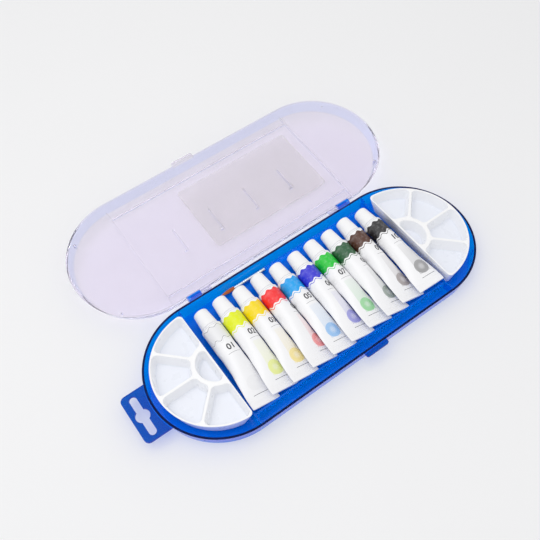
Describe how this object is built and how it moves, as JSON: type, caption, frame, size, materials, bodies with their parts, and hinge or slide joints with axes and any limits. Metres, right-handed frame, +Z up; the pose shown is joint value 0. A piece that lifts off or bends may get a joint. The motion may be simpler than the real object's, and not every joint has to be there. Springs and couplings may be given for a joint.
{
  "type": "art supply case",
  "caption": "Shallow paint case with round ends: blue tray with hang tab, hinged clear lid, capped paint tubes, lift-out mixing palettes and a fine brush.",
  "frame": {"origin": "centre of the tray's underside, on the surface that the case lies on", "axes": "+X along the case with the hang tab at -X, +Y towards the hinge, +Z up"},
  "size_m": [0.294, 0.2268, 0.0216],
  "materials": {
    "blue_plastic": "glossy translucent blue moulding",
    "clear_plastic": "glossy clear moulding with a faint lavender tint",
    "label": "frosted film",
    "white_plastic": "satin white moulding",
    "tube_laminate": "satin white printed laminate",
    "cap_plastic": "satin white moulding",
    "brush_handle": "clear moulding",
    "ferrule": "bright drawn metal",
    "bristle": "orange nylon hair"
  },
  "bodies": {
    "tray": {"base_tray": "blue_plastic"},
    "lid": {"lid": "clear_plastic", "lid_label": "label"},
    "left_palette": {"left_palette": "white_plastic"},
    "right_palette": {"right_palette": "white_plastic"},
    "tube_01": {"tube_01": "tube_laminate"},
    "cap_01": {"tube_01_cap": "cap_plastic"},
    "tube_02": {"tube_02": "tube_laminate"},
    "cap_02": {"tube_02_cap": "cap_plastic"},
    "tube_03": {"tube_03": "tube_laminate"},
    "cap_03": {"tube_03_cap": "cap_plastic"},
    "tube_04": {"tube_04": "tube_laminate"},
    "cap_04": {"tube_04_cap": "cap_plastic"},
    "tube_05": {"tube_05": "tube_laminate"},
    "cap_05": {"tube_05_cap": "cap_plastic"},
    "tube_06": {"tube_06": "tube_laminate"},
    "cap_06": {"tube_06_cap": "cap_plastic"},
    "tube_07": {"tube_07": "tube_laminate"},
    "cap_07": {"tube_07_cap": "cap_plastic"},
    "tube_08": {"tube_08": "tube_laminate"},
    "cap_08": {"tube_08_cap": "cap_plastic"},
    "tube_09": {"tube_09": "tube_laminate"},
    "cap_09": {"tube_09_cap": "cap_plastic"},
    "tube_10": {"tube_10": "tube_laminate"},
    "cap_10": {"tube_10_cap": "cap_plastic"},
    "brush": {"brush_handle": "brush_handle", "brush_ferrule": "ferrule", "brush_bristles": "bristle"}
  },
  "joints": [
    {"name": "lid_hinge", "type": "hinge", "parent": "tray", "child": "lid", "pos_m": [0, 0.056, 0.01315], "axis": [1, 0, 0], "range_deg": [0, 175.5]},
    {"name": "left_palette_lift", "type": "slide", "parent": "tray", "child": "left_palette", "axis": [0, 0, 1], "range_m": [0, 0.05]},
    {"name": "right_palette_lift", "type": "slide", "parent": "tray", "child": "right_palette", "axis": [0, 0, 1], "range_m": [0, 0.05]},
    {"name": "tube_01_lift", "type": "slide", "parent": "tray", "child": "tube_01", "axis": [0, 0, 1], "range_m": [0, 0.05]},
    {"name": "cap_01_turn", "type": "hinge", "parent": "tube_01", "child": "cap_01", "pos_m": [-0.07395, 0.0358, 0.00989], "axis": [0.0084, 1, 0], "range_deg": [0, 540]},
    {"name": "tube_02_lift", "type": "slide", "parent": "tray", "child": "tube_02", "axis": [0, 0, 1], "range_m": [0, 0.05]},
    {"name": "cap_02_turn", "type": "hinge", "parent": "tube_02", "child": "cap_02", "pos_m": [-0.05724, 0.037, 0.00989], "axis": [0.0072, 1, 0], "range_deg": [0, 540]},
    {"name": "tube_03_lift", "type": "slide", "parent": "tray", "child": "tube_03", "axis": [0, 0, 1], "range_m": [0, 0.05]},
    {"name": "cap_03_turn", "type": "hinge", "parent": "tube_03", "child": "cap_03", "pos_m": [-0.04064, 0.0355, 0.00989], "axis": [0.0072, 1, 0], "range_deg": [0, 540]},
    {"name": "tube_04_lift", "type": "slide", "parent": "tray", "child": "tube_04", "axis": [0, 0, 1], "range_m": [0, 0.05]},
    {"name": "cap_04_turn", "type": "hinge", "parent": "tube_04", "child": "cap_04", "pos_m": [-0.02368, 0.03639, 0.00989], "axis": [0.0131, 0.9999, 0], "range_deg": [0, 540]},
    {"name": "tube_05_lift", "type": "slide", "parent": "tray", "child": "tube_05", "axis": [0, 0, 1], "range_m": [0, 0.05]},
    {"name": "cap_05_turn", "type": "hinge", "parent": "tube_05", "child": "cap_05", "pos_m": [-0.007, 0.03559, 0.00989], "axis": [0.0167, 0.9999, 0], "range_deg": [0, 540]},
    {"name": "tube_06_lift", "type": "slide", "parent": "tray", "child": "tube_06", "axis": [0, 0, 1], "range_m": [0, 0.05]},
    {"name": "cap_06_turn", "type": "hinge", "parent": "tube_06", "child": "cap_06", "pos_m": [0.01005, 0.03558, 0.00989], "axis": [0.0251, 0.9997, 0], "range_deg": [0, 540]},
    {"name": "tube_07_lift", "type": "slide", "parent": "tray", "child": "tube_07", "axis": [0, 0, 1], "range_m": [0, 0.05]},
    {"name": "cap_07_turn", "type": "hinge", "parent": "tube_07", "child": "cap_07", "pos_m": [0.02645, 0.03658, 0.00989], "axis": [0.0251, 0.9997, 0], "range_deg": [0, 540]},
    {"name": "tube_08_lift", "type": "slide", "parent": "tray", "child": "tube_08", "axis": [0, 0, 1], "range_m": [0, 0.05]},
    {"name": "cap_08_turn", "type": "hinge", "parent": "tube_08", "child": "cap_08", "pos_m": [0.04295, 0.03597, 0.00989], "axis": [0.0263, 0.9997, 0], "range_deg": [0, 540]},
    {"name": "tube_09_lift", "type": "slide", "parent": "tray", "child": "tube_09", "axis": [0, 0, 1], "range_m": [0, 0.05]},
    {"name": "cap_09_turn", "type": "hinge", "parent": "tube_09", "child": "cap_09", "pos_m": [0.05981, 0.03756, 0.00989], "axis": [0.0328, 0.9995, 0], "range_deg": [0, 540]},
    {"name": "tube_10_lift", "type": "slide", "parent": "tray", "child": "tube_10", "axis": [0, 0, 1], "range_m": [0, 0.05]},
    {"name": "cap_10_turn", "type": "hinge", "parent": "tube_10", "child": "cap_10", "pos_m": [0.07731, 0.0363, 0.00949], "axis": [0.0155, 0.9987, -0.0487], "range_deg": [0, 540]},
    {"name": "brush_lift", "type": "slide", "parent": "tray", "child": "brush", "axis": [0, 0, 1], "range_m": [0, 0.05]}
  ]
}
